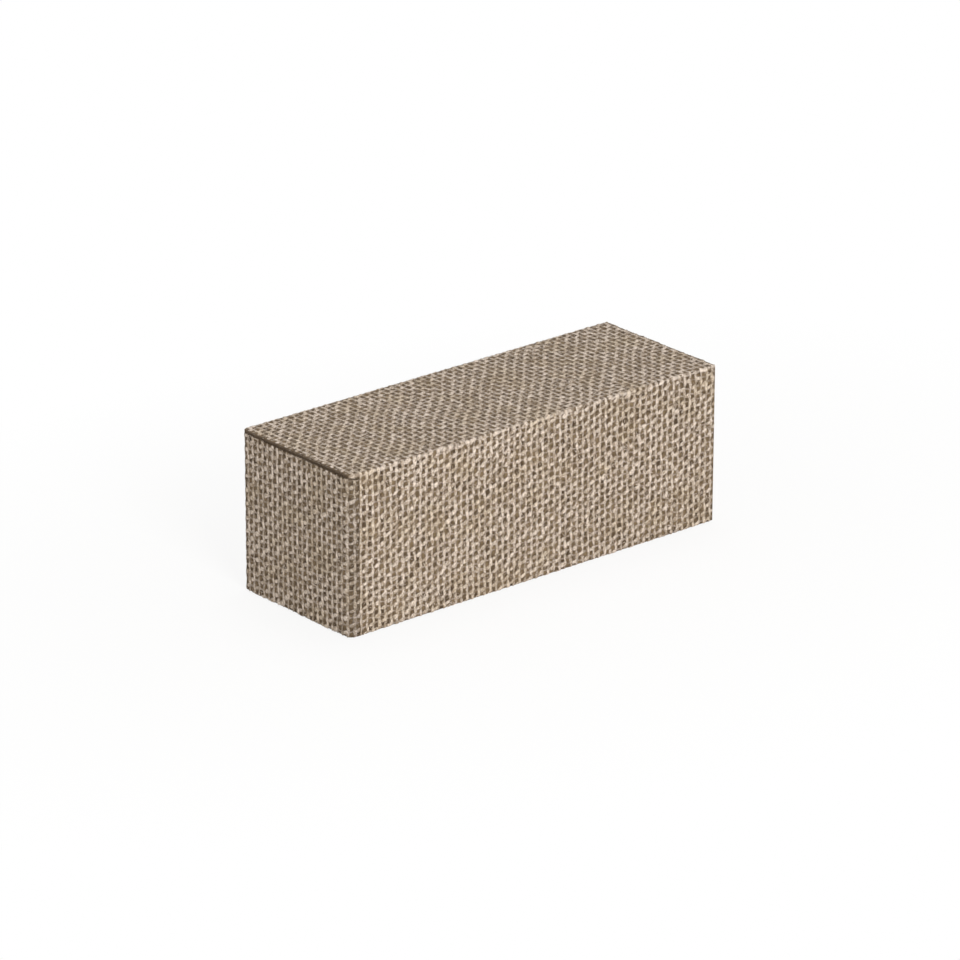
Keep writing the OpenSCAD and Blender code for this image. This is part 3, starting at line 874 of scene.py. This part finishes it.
class DRAWERBOX_OT_front_weave(bpy.types.Operator):
    """Weaves the yarns round the drawer front"""

    bl_idname = "drawerbox.front_weave"
    bl_label = "Front Weave"

    def execute(self, context):
        low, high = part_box("front_cover")
        hem_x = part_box("front_backing_sheet")[1].x
        hem_low, hem_high = (corner.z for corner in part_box("front_backing_sheet"))
        plan = [(-hem_x, high.y), (low.x, high.y)]
        plan += turned((low.x + CORNER, low.y + CORNER), CORNER, 180, 1, 8)
        plan += turned((high.x - CORNER, low.y + CORNER), CORNER, 270, 1, 8)
        plan += [(high.x, high.y), (hem_x, high.y)]
        path = [(x, y, 0) for x, y in plan]
        middle = sum((Vector(b) - Vector(a)).length for a, b in zip(path, path[1:])) / 2
        # The front's top slopes back under the bevel of the box's top
        lip_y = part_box("sleeve_cover")[0].y
        lip_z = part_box("sleeve_lining")[1].z - SKIN
        face_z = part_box("top_board")[1].z - NOSE - LIP_GAP
        fall = (face_z - lip_z + LIP_GAP) / BEVEL
        hang = 0.15 * MM  # from the front's lower edge to the ends of its yarns
        first = (middle + 0.95 * MM, low.z + 1.0 * MM)
        up = ((0, 0, 1), low.z - hang, face_z)
        fitted = {"facing": -1, "stretch": 1.016, "askew": 0.3, "Fall": fall, "Fall From": lip_y}
        cloth(context, "front_cover", "drawer", path, False, *up, anchor=first, **fitted)
        back_z = lip_z - LIP_GAP
        top = [(low.y + FOLD, face_z - fall * (low.y + FOLD - lip_y)), (lip_y + BEVEL, back_z)]
        top += [(high.y, back_z), (high.y, hem_high)]
        bottom = [(low.y + FOLD, low.z), (high.y, low.z), (high.y, hem_low)]
        span = high.x - CORNER
        for name, way, edge, relief in (("top", -1, top, 0.3), ("bottom", 1, bottom, 1.0)):
            path = [(0, y, z) for y, z in edge]
            pressed = {"loose": False, "Relief": relief}
            cloth(context, f"front_{name}_edge", "drawer", path, True, (way, 0, 0), -span, span, **pressed)
        return {"FINISHED"}


class DRAWERBOX_OT_back_weave(bpy.types.Operator):
    """Weaves the yarns of the sheet on the back"""

    bl_idname = "drawerbox.back_weave"
    bl_label = "Back Weave"

    def execute(self, context):
        low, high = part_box("back_sheet")
        path = [(high.x, high.y, 0), (low.x, high.y, 0)]
        back = {"facing": -1, "Turn": 1.0}
        first = (0.8 * MM, low.z)
        cloth(context, "back_sheet", "sleeve", path, False, (0, 0, 1), low.z, high.z, anchor=first, **back)
        # The sleeve's hems show beside and above the sheet
        edge_low, edge_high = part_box("sleeve_cover")
        hem = low.x - edge_low.x
        hems = {
            "left": (low.x, edge_low.x, edge_low.z, edge_high.z, (hem / 2, 0.0)),
            "right": (edge_high.x, high.x, edge_low.z, edge_high.z, (hem / 2, 0.0)),
            "top": (high.x, low.x, high.z, edge_high.z, (0.0, high.z + hem / 2)),
        }
        # Slimmer and straighter yarns fit on their narrow strips
        back |= {"loose": False, "Half Width": 0.45 * MM, "Wander": 0.1 * MM, "Slub": 0.5, "Relief": 0.8}
        for name, (first_x, last_x, bottom, top, first) in hems.items():
            path = [(first_x, edge_high.y, 0), (last_x, edge_high.y, 0)]
            piece = f"back_hem_{name}"
            cloth(context, piece, "sleeve", path, False, (0, 0, 1), bottom, top, anchor=first, **back)
        return {"FINISHED"}


def shows_backdrop(put):
    """1 for a ray that shows what lies behind the box: the camera's own, one mirrored and one let through."""
    rays = put("LightPath").outputs
    seen = put("Math:MAXIMUM", rays["Is Camera Ray"], rays["Is Glossy Ray"])
    return put("Math:MAXIMUM", seen, rays["Is Transmission Ray"])


def lamp(name, size, power, place, aim):
    """A soft square lamp that the camera doesn't see, in metres and watts."""
    data = bpy.data.lights.new(name, "AREA")
    data.size = size
    data.energy = power
    light = bpy.data.objects.new(name, data)
    light.location = place
    light.rotation_mode = "QUATERNION"
    light.rotation_quaternion = (Vector(aim) - Vector(place)).to_track_quat("-Z", "Y")
    light.visible_camera = False
    bpy.context.scene.collection.objects.link(light)


class DRAWERBOX_OT_stage(bpy.types.Operator):
    """Sets up the floor, the lamps, the white background and the camera"""

    bl_idname = "drawerbox.stage"
    bl_label = "Stage"

    def execute(self, context):
        scene, s = context.scene, context.scene.drawer_box.stage
        scene.view_settings.view_transform = "Standard"
        low, high = CAD_BOX
        centre = (low + high) / 2
        a, e, r = (math.radians(v) for v in (s.azimuth, s.elevation, s.roll))
        back = Vector((math.sin(a) * math.cos(e), -math.cos(a) * math.cos(e), math.sin(e)))
        flat_right = Vector((math.cos(a), math.sin(a), 0))
        flat_up = back.cross(flat_right)
        right = flat_right * math.cos(r) + flat_up * math.sin(r)
        up = back.cross(right)
        data = bpy.data.cameras.new("camera")
        data.lens, data.sensor_width = s.lens, 36
        data.clip_start, data.clip_end = 0.05, 50
        camera = bpy.data.objects.new("camera", data)
        scene.collection.objects.link(camera)
        spot = centre + back * s.distance - right * s.aside - up * s.above
        camera.matrix_world = Matrix.Translation(spot) @ Matrix((right, up, back)).transposed().to_4x4()
        scene.camera = camera
        mesh = bpy.data.meshes.new("floor")
        reach = 6.0
        corners = [(x * reach, y * reach, 0) for x, y in ((-1, -1), (1, -1), (1, 1), (-1, 1))]
        mesh.from_pydata(corners, [], [(0, 1, 2, 3)])
        floor = bpy.data.objects.new("floor", mesh)
        scene.collection.objects.link(floor)
        # Uncoated background paper: pale and matt, so that nothing is mirrored under the box
        material, put, shader = new_material("pale_paper_floor")
        fill(shader, Base_Color=(*s.floor, 1), Roughness=0.9)
        # To the camera the paper fades to white away from the box, and keeps a soft shadow near it
        place = put("TexCoord").outputs["Object"]
        half_wide, half_long = 0.13, 0.18
        shrunk = put("VectorMath:MULTIPLY", place, (1 / half_wide, 1 / half_long, 0))
        away = put("VectorMath:LENGTH", shrunk)
        fade = put("MapRange", away.outputs["Value"], 0.5, 1.6, 0.86, 1.0)
        seen = shows_backdrop(put)
        white = put("Emission", (1, 1, 1, 1), 1.0)
        surface = put("MixShader", put("Math:MULTIPLY", fade, seen), shader, white)
        fill(material.node_tree.get_output_node("ALL"), Surface=surface)
        mesh.materials.append(material)
        # White background for the camera, softer light for the box
        world = bpy.data.worlds.new("studio")
        world.use_nodes = True
        world.node_tree.nodes.clear()
        put = partial(add, world.node_tree)
        seen = shows_backdrop(put)
        soft = put("Background", (1, 0.98, 0.94, 1), 0.4)
        white = put("Background", (1, 1, 1, 1), 1.0)
        put("OutputWorld", put("MixShader", seen, soft, white))
        scene.world = world
        # The key lamp stands off the long side, the top lamp over the box
        lamp("key", size=0.5, power=15.5 * s.key, place=(1.3, -0.41, 0.65), aim=centre)
        lamp("top", size=0.9, power=6.8, place=(-0.2, 0.3, 1.5), aim=centre)
        return {"FINISHED"}


class DRAWERBOX_PT_panel(bpy.types.Panel):
    """Lists the steps and settings of the drawer box"""

    bl_label = "Drawer Box"
    bl_idname = "DRAWERBOX_PT_panel"
    bl_space_type = "VIEW_3D"
    bl_region_type = "UI"
    bl_category = "Drawer Box"

    def draw(self, context):
        for step in STEPS:
            self.layout.operator(step.bl_idname)
        settings = context.scene.drawer_box
        for group in (settings.weave, settings.paper, settings.stage):
            column = self.layout.column(align=True)
            for name in group.bl_rna.properties.keys():
                if name not in ("rna_type", "name"):
                    column.prop(group, name)


STEPS = (
    DRAWERBOX_OT_stage,
    DRAWERBOX_OT_papers,
    DRAWERBOX_OT_sleeve_weave,
    DRAWERBOX_OT_mouth_weave,
    DRAWERBOX_OT_base_weave,
    DRAWERBOX_OT_front_weave,
    DRAWERBOX_OT_back_weave,
)
CLASSES = (WeaveSettings, PaperSettings, StageSettings, BoxSettings, *STEPS, DRAWERBOX_PT_panel)


def register():
    for cls in CLASSES:
        bpy.utils.register_class(cls)
    bpy.types.Scene.drawer_box = PointerProperty(type=BoxSettings)


def unregister():
    del bpy.types.Scene.drawer_box
    for cls in reversed(CLASSES):
        bpy.utils.unregister_class(cls)


def main():
    """Registers the add-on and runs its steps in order."""
    register()
    bpy.ops.drawerbox.stage()
    bpy.ops.drawerbox.papers()
    bpy.ops.drawerbox.sleeve_weave()
    bpy.ops.drawerbox.mouth_weave()
    bpy.ops.drawerbox.base_weave()
    bpy.ops.drawerbox.front_weave()
    bpy.ops.drawerbox.back_weave()


if __name__ == "__main__":
    main()
